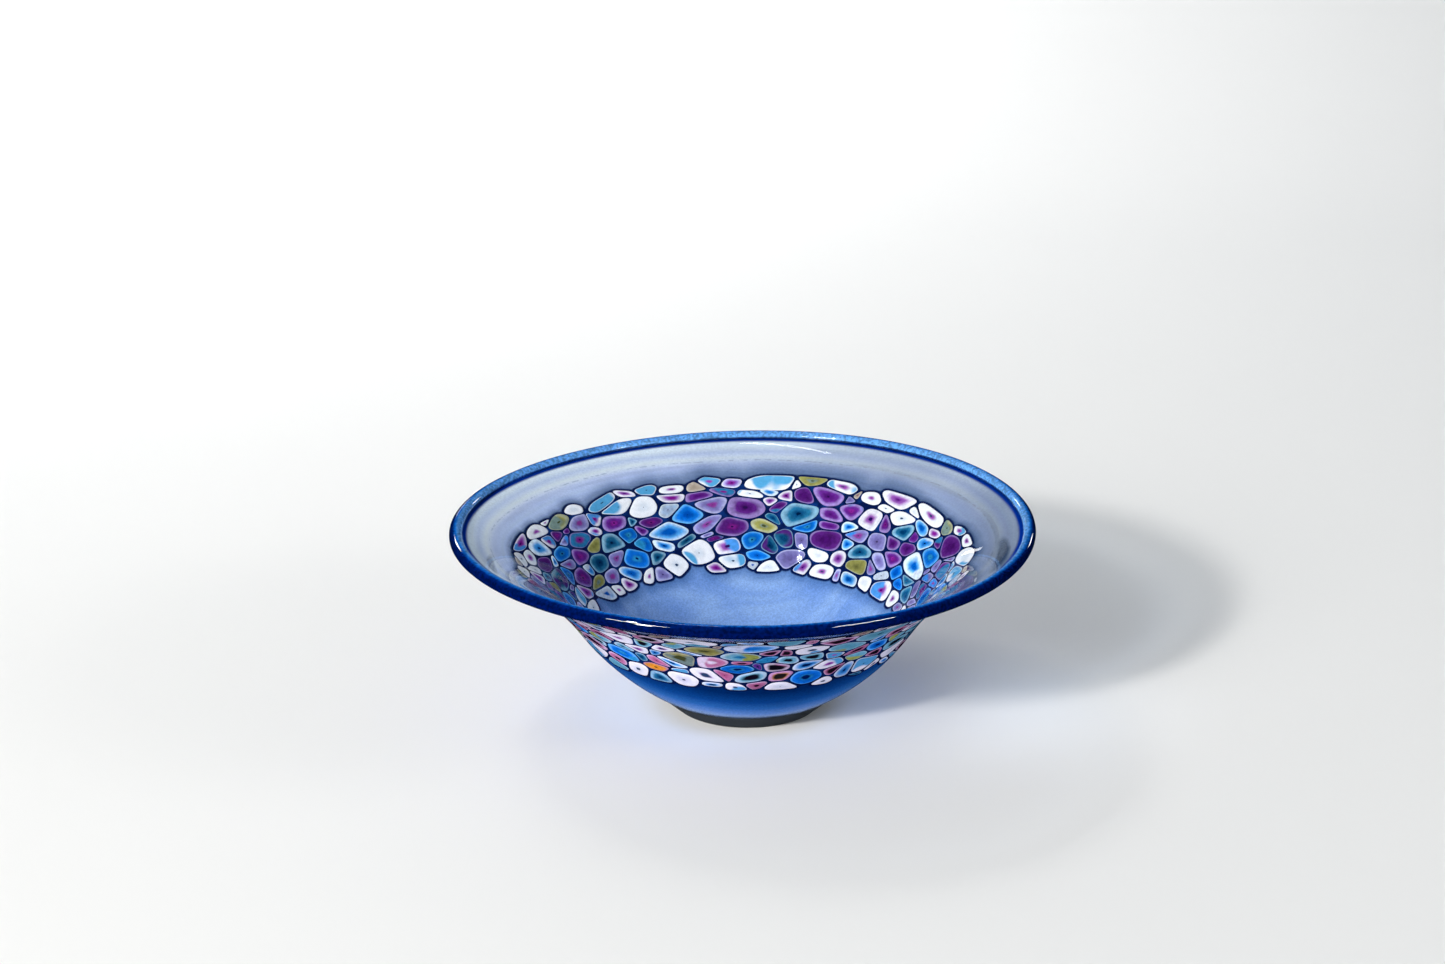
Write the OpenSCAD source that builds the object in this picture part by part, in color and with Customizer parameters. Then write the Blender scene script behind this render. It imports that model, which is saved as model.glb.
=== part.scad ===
// Blown glass bowl on a dark foot, with a band of murrine in its wall.
// The wall is built in layers, from the outside in: a clear outer casing, a thin
// layer of colour, and a pale inner casing. The colour layer is cobalt glass below
// the band, slices of patterned cane (murrine) set in cobalt glass in the band,
// and pale blue-grey glass in the flare. A round cobalt wrap finishes the lip.
// Origin: centre of the face that the foot rests on. +Z points up out of the bowl.

/* [Bowl] */
// Overall diameter over the lip wrap
bowl_d = 260; // [240:1:280]
// Height of the middle of the lip wrap above the table
lip_h = 84; // [80:0.5:88]
// Thickness of the round lip wrap
lip_wrap_d = 5.8; // [4.5:0.1:7]
// Radius of the waist, where the convex body turns into the open flare
waist_r = 77.5; // [75:0.5:80]
// Height of the waist above the table
waist_h = 42; // [40:0.5:44]
// Steepness of the wall at the waist, in degrees from level
waist_angle = 56; // [54:0.5:58]

/* [Foot] */
// Radius at which the body sits on the foot
foot_top_r = 43; // [41:0.5:45]
// Height of the foot's upper edge
foot_h = 8.8; // [8:0.1:10]
// Radius of the flat face that the bowl rests on
foot_rest_r = 33; // [30:0.5:36]
// Radius of the level floor in the middle of the body
floor_r = 22; // [18:0.5:25]
// Radius of the polished hollow left where the blowing rod came off
pontil_r = 12; // [8:0.5:15]
// Depth of that hollow
pontil_depth = 1; // [0.6:0.1:1.5]

/* [Wall] */
// Wall thickness at the foot
foot_wall = 6; // [5:0.1:7]
// Wall thickness at the lip
lip_wall = 3.4; // [3:0.1:4.4]
// Share of the wall's thickness that is outer casing
outer_share = 0.28; // [0.2:0.01:0.35]
// Share of the wall's thickness that is colour layer
colour_share = 0.42; // [0.35:0.01:0.5]

/* [Murrine band] */
// Length along the wall from the foot to the band's lower edge
band_low = 37.5; // [34:0.5:40]
// Length along the wall from the foot to the band's upper edge
band_high = 87.5; // [82:0.5:90]
// Rows of murrine in the band
murrine_rows = 7; // [5:1:8]
// Average width of one murrina round the bowl
murrina_w = 11; // [10:0.5:14]
// How much wider than tall the murrine are in the lowest row
low_stretch = 1.25; // [1:0.05:1.5]
// How much wider than tall they are in the top row, where the flare was opened out
high_stretch = 2.1; // [1.5:0.05:2.3]
// Thickness of the cobalt glass between two murrine
joint_w = 0.7; // [0.5:0.05:1]
// Seed of the hand-laid pattern
pattern_seed = 11; // [1:1:99]

/* [Hidden] */
$fn = 96;

// --- Wall profile -----------------------------------------------------------
// The outer surface is three arcs in a row: floor to foot, foot to waist and
// waist to lip. Points are [radius, height], and s is the length along the wall
// from the foot, negative under the floor.

// Direction from p to q in degrees
function heading(p, q) = atan2(q.y - p.y, q.x - p.x);

lip_r = bowl_d / 2 - lip_wrap_d / 2;
foot_edge = [foot_top_r, foot_h];
waist = [waist_r, waist_h];
// The lip wrap sits on the middle of the wall's edge, so the outer surface ends below it
lip = [lip_r, lip_h];
lip_angle = 2 * heading(waist, lip) - waist_angle;
lip_under = lip + lip_wall / 2 * [sin(lip_angle), -cos(lip_angle)];

// Angle that an arc from p to q turns through when it leaves p at angle a
function arc_turn(p, q, a) = 2 * (heading(p, q) - a);
function arc_radius(p, q, turn) = norm(q - p) / (2 * sin(turn / 2));
function arc_length(p, q, turn) = arc_radius(p, q, turn) * turn * PI / 180;
// Point at fraction f of an arc that leaves p at angle a with a given radius and turn
function arc_point(p, a, radius, turn, f) =
    p + 2 * radius * sin(f * turn / 2) * [cos(a + f * turn / 2), sin(a + f * turn / 2)];

foot_angle = 2 * heading(foot_edge, waist) - waist_angle;
body_turn = waist_angle - foot_angle;
body_len = arc_length(foot_edge, waist, body_turn);
flare_turn = arc_turn(waist, lip_under, waist_angle);
flare_len = arc_length(waist, lip_under, flare_turn);
wall_len = body_len + flare_len;
floor_arc_r = (foot_top_r - floor_r) / sin(foot_angle);
floor_len = floor_arc_r * foot_angle * PI / 180;
floor_edge = [floor_r, foot_h - floor_arc_r * (1 - cos(foot_angle))];

// Outer surface and its angle from level at length s along the wall
function outer_at(s) =
    s < 0 ? arc_point(floor_edge, 0, floor_arc_r, foot_angle, 1 + s / floor_len)
    : s < body_len
    ? arc_point(foot_edge, foot_angle, arc_radius(foot_edge, waist, body_turn), body_turn, s / body_len)
    : arc_point(waist, waist_angle, arc_radius(waist, lip_under, flare_turn), flare_turn,
                (s - body_len) / flare_len);
function angle_at(s) =
    s < 0 ? foot_angle * (1 + s / floor_len)
    : s < body_len ? foot_angle + body_turn * s / body_len
    : waist_angle + flare_turn * (s - body_len) / flare_len;
function thickness_at(s) = foot_wall + (lip_wall - foot_wall) * max(0, s) / wall_len;
// Point in the wall: depth 0 is the outer surface and 1 the inner surface
function wall_at(s, depth) =
    outer_at(s) + depth * thickness_at(s) * [-sin(angle_at(s)), cos(angle_at(s))];

// Depths of the colour layer's outer side, middle and inner side
colour_from = outer_share;
colour_to = outer_share + colour_share;
colour_middle = (colour_from + colour_to) / 2;

// Shared stations, so that neighbouring layers meet face to face
station_step = 5;
function stations(from, to) =
    let (n = max(1, ceil((to - from) / station_step))) [for (i = [0:n]) from + (to - from) * i / n];
floor_stations = stations(-floor_len, 0);
body_stations = stations(0, band_low);
band_stations = stations(band_low, band_high);
flare_stations = stations(band_high, wall_len);
low_stations = concat(floor_stations, [for (i = [1:len(body_stations) - 1]) body_stations[i]]);
high_stations = concat([for (i = [0:len(band_stations) - 2]) band_stations[i]], flare_stations);
all_stations = concat(low_stations, [for (i = [1:len(high_stations) - 1]) high_stations[i]]);

function reversed(list) = [for (i = [len(list) - 1:-1:0]) list[i]];

// Cross-section of the wall between two depths, and the same closed to the axis by a
// level floor
function ring_section(at, depth_from, depth_to) =
    concat([for (s = at) wall_at(s, depth_from)], reversed([for (s = at) wall_at(s, depth_to)]));
function cup_section(at, depth_from, depth_to) =
    concat([[0, wall_at(at[0], depth_from).y]], ring_section(at, depth_from, depth_to),
           [[0, wall_at(at[0], depth_to).y]]);

// Layer of the wall, turned round the axis and cut back for the lip wrap
module layer(section) {
    rotate_extrude()
        difference() {
            polygon(section);
            translate(lip) circle(d = lip_wrap_d);
        }
}

// --- Murrine layout ---------------------------------------------------------
// Each murrina starts as a point on the middle of the colour layer. Rows beyond
// both edges of the band only shape the edge of the pattern.

row_pitch = (band_high - band_low) / murrine_rows;
// Furthest a murrina is moved up or down and sideways, as shares of a row and a width
row_shift = 0.42;
side_shift = 0.42;
// Range of how far a murrina reaches into its neighbours. The bias makes large ones rare.
smallest_pull = 0.5;
largest_pull = 5.6;
pull_bias = 1.6;
golden = 0.618034;
colour_step = 3.7;
// Murrine smaller than this many square mm are left out, and the joints close over them
smallest_area = 9;
// Radius of a blank, which is more than any murrina's
reach = 20;
// Height of a slice before trimming, as a share of the wall's thickness
slice_share = 2.2;

function row_s(row) = band_low + (row + 0.5) * row_pitch;
function row_count(row) = round(2 * PI * wall_at(row_s(row), colour_middle).x / murrina_w);
function row_dice(row, offset) =
    rands(0, 1, row_count(row), pattern_seed + 10 * (row + 1) + offset);

// One entry per murrina: [row, azimuth, s, dice for its pull, place in its row's list of
// colours]. A step of the golden ratio keeps equal colours apart.
seeds = [for (row = [-1:murrine_rows])
    let (n = row_count(row), side = row_dice(row, 1), lift = row_dice(row, 2), pull = row_dice(row, 3))
    for (i = [0:n - 1])
        [row,
         (i + 0.5 * (row % 2) + side_shift * (2 * side[i] - 1)) * 360 / n,
         row_s(row) + row_shift * row_pitch * (2 * lift[i] - 1),
         pull[i],
         ((i + colour_step * (row + 1)) * golden) % 1]];

function in_band(seed) = seed[0] >= 0 && seed[0] < murrine_rows;
function place(seed) =
    let (p = wall_at(seed[2], colour_middle)) [p.x * cos(seed[1]), p.x * sin(seed[1]), p.y];
places = [for (seed = seeds) place(seed)];

// Directions round the bowl and up the wall at one murrina
function round_dir(seed) = [-sin(seed[1]), cos(seed[1]), 0];
function up_dir(seed) =
    let (a = angle_at(seed[2])) [cos(a) * cos(seed[1]), cos(a) * sin(seed[1]), sin(a)];

// Part of a polygon on the near side of the line at distance d along direction n
function cut(points, n, d) = [
    for (i = [0:len(points) - 1])
        let (p = points[i], q = points[(i + 1) % len(points)], dp = p * n - d, dq = q * n - d)
        each concat(dp <= 0 ? [p] : [], dp * dq < 0 ? [p + (q - p) * dp / (dp - dq)] : [])];
function cut_all(points, cuts, i = 0) =
    i >= len(cuts) || len(points) < 3 ? points
    : cut_all(cut(points, cuts[i][0], cuts[i][1]), cuts, i + 1);

function stretch_at(s) =
    low_stretch + (high_stretch - low_stretch) * (s - band_low) / (band_high - band_low);

// Joint lines between one murrina and each neighbour, nearer to the one that pulls less.
// Lengths round the bowl count for less by the stretch, so that the murrine come out wide.
function joints(i) = [
    for (j = [0:len(seeds) - 1])
        if (j != i && norm(places[j] - places[i]) < 2 * reach)
            let (gap = places[j] - places[i],
                 stretch = stretch_at((seeds[i][2] + seeds[j][2]) / 2),
                 flat = [gap * round_dir(seeds[i]) / stretch, gap * up_dir(seeds[i])],
                 side = [flat.x / stretch, flat.y],
                 share = (flat * flat + pow(pulls[i], 2) - pow(pulls[j], 2)) / 2)
            [side / norm(side), share / norm(side) - joint_w / 2]];

blank = [for (a = [0:45:315]) reach * [cos(a), sin(a)]];
function outline(i) = cut_all(blank, joints(i));
function area(points) =
    len(points) < 3 ? 0
    : sum([for (i = [0:len(points) - 1])
        let (p = points[i], q = points[(i + 1) % len(points)]) (p.x * q.y - q.x * p.y) / 2]);
function sum(list, i = 0) = i >= len(list) ? 0 : list[i] + sum(list, i + 1);

// One murrina before it is trimmed to the colour layer
module cane_slice(i) {
    seed = seeds[i];
    p = wall_at(seed[2], colour_middle);
    points = outline(i);
    slice_h = slice_share * thickness_at(seed[2]);
    if (area(points) > smallest_area)
        rotate([0, 0, seed[1]])
            translate([p.x, 0, p.y])
                rotate([0, 180 - angle_at(seed[2]), 0])
                    rotate([0, 0, 90])
                        linear_extrude(slice_h, center = true)
                            polygon(points);
}

// --- Colours of the murrine -------------------------------------------------

// Colours in each row, lowest row first, where the pattern is cool and dark
cool_rows = [
    ["white", "magenta", "white", "sky", "white", "magenta", "white", "lilac"],
    ["lilac", "teal", "magenta", "sky", "lilac", "olive", "cobalt", "white"],
    ["teal", "sky", "plum", "lilac", "teal", "cobalt", "plum", "lilac"],
    ["plum", "lilac", "teal", "sky", "plum", "cobalt", "lilac", "olive"],
    ["lilac", "plum", "sky", "plum", "teal", "cobalt", "magenta", "plum"],
    ["magenta", "sky", "plum", "white", "magenta", "lilac", "white", "plum"],
    ["white", "white", "magenta", "white", "cream", "white", "olive", "white"]];
// The same rows where it is warm and bright, round the side that faces -Y
warm_rows = [
    ["white", "sky", "white", "rose", "white", "turquoise", "white", "teal"],
    ["white", "rose", "turquoise", "white", "cobalt", "rose", "sky", "orange"],
    ["rose", "turquoise", "white", "teal", "rose", "sky", "cobalt", "turquoise"],
    ["turquoise", "rose", "white", "cobalt", "olive", "turquoise", "rose", "sky"],
    ["white", "rose", "olive", "turquoise", "rose", "sky", "white", "turquoise"],
    ["rose", "turquoise", "white", "sky", "turquoise", "white", "cream", "rose"],
    ["white", "sky", "white", "rose", "white", "cream", "turquoise", "white"]];
warm_half_angle = 70;

function is_warm(seed) = cos(seed[1] + 90) > cos(warm_half_angle);
function colour_of(seed) =
    let (rows = is_warm(seed) ? warm_rows : cool_rows, row = rows[min(seed[0], len(rows) - 1)])
    row[floor(seed[4] * len(row))];

// How far a murrina reaches into its neighbours. The cream ones are all small.
pulls = [for (seed = seeds)
    in_band(seed) && colour_of(seed) == "cream" ? smallest_pull
    : smallest_pull + (largest_pull - smallest_pull) * pow(seed[3], pull_bias)];

module murrine(colour) {
    intersection() {
        layer(ring_section(band_stations, colour_from, colour_to));
        union()
            for (i = [0:len(seeds) - 1])
                if (in_band(seeds[i]) && colour_of(seeds[i]) == colour) cane_slice(i);
    }
}

// --- Parts ------------------------------------------------------------------

module outer_casing() {
    color("lightsteelblue", 0.4) layer(cup_section(all_stations, 0, colour_from));
}

module inner_casing() {
    color("cornflowerblue", 0.6) layer(cup_section(all_stations, colour_to, 1));
}

module base_colour() {
    color("mediumblue") layer(cup_section(low_stations, colour_from, colour_to));
}

module flare_colour() {
    color("lightblue") layer(ring_section(flare_stations, colour_from, colour_to));
}

// Cobalt glass that fills the joints between the murrine
module cobalt_ground() {
    color("midnightblue")
        difference() {
            layer(ring_section(band_stations, colour_from, colour_to));
            for (i = [0:len(seeds) - 1])
                if (in_band(seeds[i])) cane_slice(i);
        }
}

// Round bead of cobalt glass wound on the lip
module lip_wrap() {
    color("mediumblue")
        rotate_extrude()
            translate(lip) circle(d = lip_wrap_d);
}

// Charcoal foot, shaped to the underside of the body, with a polished hollow below
module foot_pad() {
    dome_r = (pow(pontil_r, 2) + pow(pontil_depth, 2)) / (2 * pontil_depth);
    color("dimgray")
        rotate_extrude()
            difference() {
                polygon(concat([[0, 0], [foot_rest_r, 0]],
                               reversed([for (s = floor_stations) outer_at(s)]),
                               [[0, floor_edge.y]]));
                translate([0, pontil_depth - dome_r])
                    intersection() {
                        circle(dome_r);
                        translate([0, -dome_r]) square([dome_r, 2 * dome_r]);
                    }
            }
}

module murrine_white() { color("white") murrine("white"); }
module murrine_cream() { color("wheat") murrine("cream"); }
module murrine_olive() { color("darkkhaki") murrine("olive"); }
module murrine_magenta() { color("mediumvioletred") murrine("magenta"); }
module murrine_plum() { color("purple") murrine("plum"); }
module murrine_lilac() { color("plum") murrine("lilac"); }
module murrine_sky() { color("skyblue") murrine("sky"); }
module murrine_cobalt() { color("royalblue") murrine("cobalt"); }
module murrine_teal() { color("cadetblue") murrine("teal"); }
module murrine_rose() { color("palevioletred") murrine("rose"); }
module murrine_turquoise() { color("turquoise") murrine("turquoise"); }
module murrine_orange() { color("orange") murrine("orange"); }

outer_casing();
inner_casing();
flare_colour();
base_colour();
cobalt_ground();
lip_wrap();
foot_pad();
murrine_white();
murrine_cream();
murrine_olive();
murrine_magenta();
murrine_plum();
murrine_lilac();
murrine_sky();
murrine_cobalt();
murrine_teal();
murrine_rose();
murrine_turquoise();
murrine_orange();
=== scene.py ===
"""Looks of a blown glass bowl with a band of murrine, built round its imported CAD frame."""
import math
from typing import NamedTuple

import bpy
import numpy as np
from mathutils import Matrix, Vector, kdtree


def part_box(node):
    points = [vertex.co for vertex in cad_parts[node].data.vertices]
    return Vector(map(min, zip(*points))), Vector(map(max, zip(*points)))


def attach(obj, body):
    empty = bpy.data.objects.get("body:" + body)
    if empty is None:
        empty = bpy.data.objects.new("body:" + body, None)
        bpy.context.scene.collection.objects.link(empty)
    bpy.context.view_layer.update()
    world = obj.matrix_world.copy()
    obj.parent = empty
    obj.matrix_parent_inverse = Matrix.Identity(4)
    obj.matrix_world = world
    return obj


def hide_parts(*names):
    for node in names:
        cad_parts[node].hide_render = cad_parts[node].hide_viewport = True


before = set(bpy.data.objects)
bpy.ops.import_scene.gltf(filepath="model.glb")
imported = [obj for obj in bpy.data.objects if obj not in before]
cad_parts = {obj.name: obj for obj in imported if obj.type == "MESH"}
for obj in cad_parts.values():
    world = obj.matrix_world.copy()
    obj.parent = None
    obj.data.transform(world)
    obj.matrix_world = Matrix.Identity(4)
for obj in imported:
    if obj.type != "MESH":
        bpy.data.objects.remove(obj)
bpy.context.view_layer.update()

MM = 0.001

# --- Wall profile, as in the CAD: floor arc, body arc and flare arc -----------------------

_, foot_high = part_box("foot_pad")
lip_low, lip_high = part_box("lip_wrap")
# Radius of the lip's thread, and its middle in the section plane
BEAD_R = (lip_high.z - lip_low.z) / 2
LIP = np.array([(lip_high.x - lip_low.x) / 2 - BEAD_R, (lip_high.z + lip_low.z) / 2])
# Where the wall leaves the foot, and where the body turns into the flare
FOOT_EDGE = np.array([foot_high.x, foot_high.z])
WAIST = np.array([77.5, 42]) * MM
WAIST_ANGLE = math.radians(56)
# Thickness of the wall at the foot and at the lip
FOOT_WALL = 6 * MM
LIP_WALL = 3.4 * MM
# The colours lie between these depths, where 0 is the outer surface and 1 the inner surface
COLOUR_FROM = 0.28
COLOUR_TO = 0.70
COLOUR_MIDDLE = (COLOUR_FROM + COLOUR_TO) / 2


def heading(p, q):
    """Direction from p to q in the section plane."""
    return math.atan2(q[1] - p[1], q[0] - p[0])


class Arc:
    """An arc from p to q that leaves p at angle start."""

    def __init__(self, p, q, start):
        self.p = p
        self.start = start
        self.turn = 2 * (heading(p, q) - start)
        self.radius = np.linalg.norm(q - p) / (2 * math.sin(self.turn / 2))
        self.length = self.radius * self.turn

    def at(self, fraction):
        """Points and angles at fractions of the arc."""
        half = fraction * self.turn / 2
        step = 2 * self.radius * np.sin(half)
        r = self.p[0] + step * np.cos(self.start + half)
        z = self.p[1] + step * np.sin(self.start + half)
        return r, z, self.start + 2 * half


lip_angle = 2 * heading(WAIST, LIP) - WAIST_ANGLE
LIP_UNDER = LIP + LIP_WALL / 2 * np.array([math.sin(lip_angle), -math.cos(lip_angle)])
FOOT_ANGLE = 2 * heading(FOOT_EDGE, WAIST) - WAIST_ANGLE
FLOOR_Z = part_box("outer_casing")[0].z
FLOOR_ARC_R = (FOOT_EDGE[1] - FLOOR_Z) / (1 - math.cos(FOOT_ANGLE))
FLOOR_R = FOOT_EDGE[0] - FLOOR_ARC_R * math.sin(FOOT_ANGLE)
floor_arc = Arc(np.array([FLOOR_R, FLOOR_Z]), FOOT_EDGE, 0)
body_arc = Arc(FOOT_EDGE, WAIST, FOOT_ANGLE)
flare_arc = Arc(WAIST, LIP_UNDER, WAIST_ANGLE)
WALL_LEN = body_arc.length + flare_arc.length
AXIS_S = -floor_arc.length - FLOOR_R


def outer_at(s):
    """Radius, height and angle of the outer surface at lengths s along the wall from the foot."""
    s = np.asarray(s, float)
    flat = (np.clip(FLOOR_R + floor_arc.length + s, 0, None), np.full_like(s, FLOOR_Z), np.zeros_like(s))
    floor = floor_arc.at(1 + s / floor_arc.length)
    body = body_arc.at(s / body_arc.length)
    flare = flare_arc.at((s - body_arc.length) / flare_arc.length)
    zones = [s < -floor_arc.length, s < 0, s < body_arc.length]
    return [np.select(zones, [flat[i], floor[i], body[i]], flare[i]) for i in range(3)]


def wall_at(s, depth):
    """Radius and height in the wall. Depth 0 is the outer surface and 1 the inner surface."""
    r, z, angle = outer_at(s)
    thick = depth * (FOOT_WALL + (LIP_WALL - FOOT_WALL) * np.clip(s, 0, None) / WALL_LEN)
    return r - thick * np.sin(angle), z + thick * np.cos(angle)


LIP_CLEAR = 0.03 * MM
HALVINGS = 40


def lip_contact(depth):
    """Length along the wall at which a layer meets the lip wrap, found by halving."""
    low, high = WALL_LEN - 2.5 * BEAD_R, WALL_LEN
    for _ in range(HALVINGS):
        middle = (low + high) / 2
        r, z = wall_at(np.array(middle), depth)
        if math.hypot(r - LIP[0], z - LIP[1]) > BEAD_R + LIP_CLEAR:
            low = middle
        else:
            high = middle
    return low


# --- Hand-blown unevenness ----------------------------------------------------------------

# Slope of the rim towards +X, how far two sides rise as the other two drop, and where they
# rise, and how far the rim is off centre
RIM_TILT = 0.009
RIM_SADDLE = 1.1 * MM
SADDLE_AZIMUTH = math.radians(37)
RIM_SHIFT = -2.1 * MM


def hand_blown(points):
    """The rim is a little tilted, saddle-shaped and off centre. The foot stays level and round."""
    x, y = points[:, 0].copy(), points[:, 1].copy()
    r = np.hypot(x, y)
    rise = np.clip((r - FOOT_EDGE[0]) / (LIP[0] - FOOT_EDGE[0]), 0, 1.05)
    weight = rise * rise * (3 - 2 * np.clip(rise, 0, 1))
    azimuth = np.arctan2(y, x)
    points[:, 2] += weight * (RIM_TILT * x + RIM_SADDLE * np.cos(2 * (azimuth - SADDLE_AZIMUTH)))
    points[:, 0] += weight * RIM_SHIFT
    return points


# --- Mesh helpers -------------------------------------------------------------------------


def make_piece(name, points, faces, attributes=None):
    """A smooth mesh object from points before the hand-blown warp, with float attributes."""
    mesh = bpy.data.meshes.new(name)
    mesh.from_pydata(hand_blown(np.array(points, float)).tolist(), [], faces)
    mesh.validate()
    for key, values in (attributes or {}).items():
        layer = mesh.attributes.new(key, "FLOAT", "POINT")
        layer.data.foreach_set("value", np.asarray(values, np.float32))
    mesh.polygons.foreach_set("use_smooth", [True] * len(mesh.polygons))
    mesh.update()
    piece = bpy.data.objects.new(name, mesh)
    bpy.context.scene.collection.objects.link(piece)
    return piece


def finish_piece(piece, material, slot, *nodes):
    """Gives a piece its material, hangs it under the root body and hides the CAD parts it replaces. The
    slot is not used.
    """
    piece.data.materials.append(material)
    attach(piece, "root")
    if nodes:
        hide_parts(*nodes)


def lathe(r, z, turns, closed):
    """Points and quads of a section turned round the axis. A section that isn't closed starts
    and ends on the axis."""
    angle = np.arange(turns) * 2 * math.pi / turns
    if closed:
        ring_r, ring_z = r, z
    else:
        ring_r, ring_z = r[1:-1], z[1:-1]
    rings = len(ring_r)
    points = np.stack([np.outer(ring_r, np.cos(angle)), np.outer(ring_r, np.sin(angle)),
                       np.repeat(ring_z[:, None], turns, 1)], -1).reshape(-1, 3)
    faces = []
    for i in range(rings if closed else rings - 1):
        j = (i + 1) % rings
        for k in range(turns):
            m = (k + 1) % turns
            faces.append((i * turns + k, i * turns + m, j * turns + m, j * turns + k))
    if not closed:
        first, last = len(points), len(points) + 1
        points = np.vstack([points, [[0, 0, z[0]], [0, 0, z[-1]]]])
        base = (rings - 1) * turns
        for k in range(turns):
            m = (k + 1) % turns
            faces.append((first, m, k))
            faces.append((last, base + k, base + m))
    return points, faces


def wall_layer(s, inset, turns, axis):
    """A closed layer of the colours' wall: up its outer side and back down its inner side. It
    is thinner than the colours by an inset on each side. One that has an axis closes there.
    Its attributes are the place along the wall, and the side: 0 outside and 1 inside."""
    outer_r, outer_z = wall_at(s, COLOUR_FROM + inset)
    inner_r, inner_z = wall_at(s[::-1], COLOUR_TO - inset)
    r, z = np.concatenate([outer_r, inner_r]), np.concatenate([outer_z, inner_z])
    points, faces = lathe(r, z, turns, closed=not axis)

    def on_points(ring_values):
        """One value for each point, from one for each ring."""
        if axis:
            return np.concatenate([np.repeat(ring_values[1:-1], turns), ring_values[[0, -1]]])
        return np.repeat(ring_values, turns)

    along = np.concatenate([s, s[::-1]])
    side = np.repeat([0.0, 1.0], len(s))
    return points, faces, {"along": on_points(along) / WALL_LEN, "side": on_points(side)}


# --- Murrine outlines, read from the CAD solids -------------------------------------------

COLOURS = ["white", "cream", "olive", "magenta", "plum", "lilac", "sky", "cobalt", "teal",
           "rose", "turquoise", "orange"]
# Places along the middle of the colours, in which a slice's nearest place is looked up
TABLE_STEPS = 1500
TABLE_S = np.linspace(0, WALL_LEN, TABLE_STEPS)
TABLE_R, TABLE_Z = wall_at(TABLE_S, COLOUR_MIDDLE)
# Points closer than this are one point
WELD = 0.002 * MM
# A corner that turns by less than this sine is straight, and shorter edges are left out
STRAIGHT = 0.03
SHORT_EDGE = 0.15 * MM


def islands(mesh):
    """Point sets of a mesh's separate solids."""
    co = np.zeros(len(mesh.vertices) * 3)
    mesh.vertices.foreach_get("co", co)
    co = co.reshape(-1, 3)
    edges = np.zeros(len(mesh.edges) * 2, int)
    mesh.edges.foreach_get("vertices", edges)
    _, same = np.unique(np.round(co / WELD).astype(np.int64), axis=0, return_inverse=True)
    same = same.ravel()
    a, b = same[edges[0::2]], same[edges[1::2]]
    label = np.arange(same.max() + 1)
    while True:
        low = np.minimum(label[a], label[b])
        new = label.copy()
        np.minimum.at(new, a, low)
        np.minimum.at(new, b, low)
        new = new[new]
        if (new == label).all():
            break
        label = new
    of_vertex = label[same]
    return [co[of_vertex == i] for i in np.unique(of_vertex)]


def convex_outline(points):
    """Convex hull of 2D points, anticlockwise, without points on straight edges."""
    order = points[np.lexsort((points[:, 1], points[:, 0]))]

    def chain(sequence):
        kept = []
        for p in sequence:
            while len(kept) > 1:
                u, v = kept[-1] - kept[-2], p - kept[-1]
                if u[0] * v[1] - u[1] * v[0] > STRAIGHT * np.linalg.norm(u) * np.linalg.norm(v):
                    break
                kept.pop()
            if not kept or np.linalg.norm(p - kept[-1]) > SHORT_EDGE:
                kept.append(p)
        return kept

    return np.array(chain(order)[:-1] + chain(order[::-1])[:-1])


# Part of each edge that its corner's curve takes up, at least and by how much it varies
CUT_LEAST = 0.32
CUT_SPREAD = 0.1
CURVE_STEPS = 7
SMOOTHINGS = 2


def rounded_outline(corners, cut, count):
    """Rounds a polygon's corners, spaces count points evenly round it and smooths them."""
    curve = []
    n = len(corners)
    t = np.linspace(0, 1, CURVE_STEPS)[:, None]
    for i in range(n):
        before, at, after = corners[i - 1], corners[i], corners[(i + 1) % n]
        start, end = at + cut * (before - at), at + cut * (after - at)
        curve.append((1 - t) ** 2 * start + 2 * t * (1 - t) * at + t ** 2 * end)
    curve = np.vstack(curve)
    closed = np.vstack([curve, curve[:1]])
    length = np.concatenate([[0], np.cumsum(np.linalg.norm(np.diff(closed, axis=0), axis=1))])
    even = np.arange(count) * length[-1] / count
    outline = np.stack([np.interp(even, length, closed[:, i]) for i in range(2)], 1)
    for _ in range(SMOOTHINGS):
        outline = (np.roll(outline, 1, 0) + 2 * outline + np.roll(outline, -1, 0)) / 4
    return outline


def centroid(outline):
    """Middle of the area inside an outline."""
    nxt = np.roll(outline, -1, 0)
    cross = outline[:, 0] * nxt[:, 1] - nxt[:, 0] * outline[:, 1]
    return ((outline + nxt) * cross[:, None]).sum(0) / (3 * cross.sum())


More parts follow.
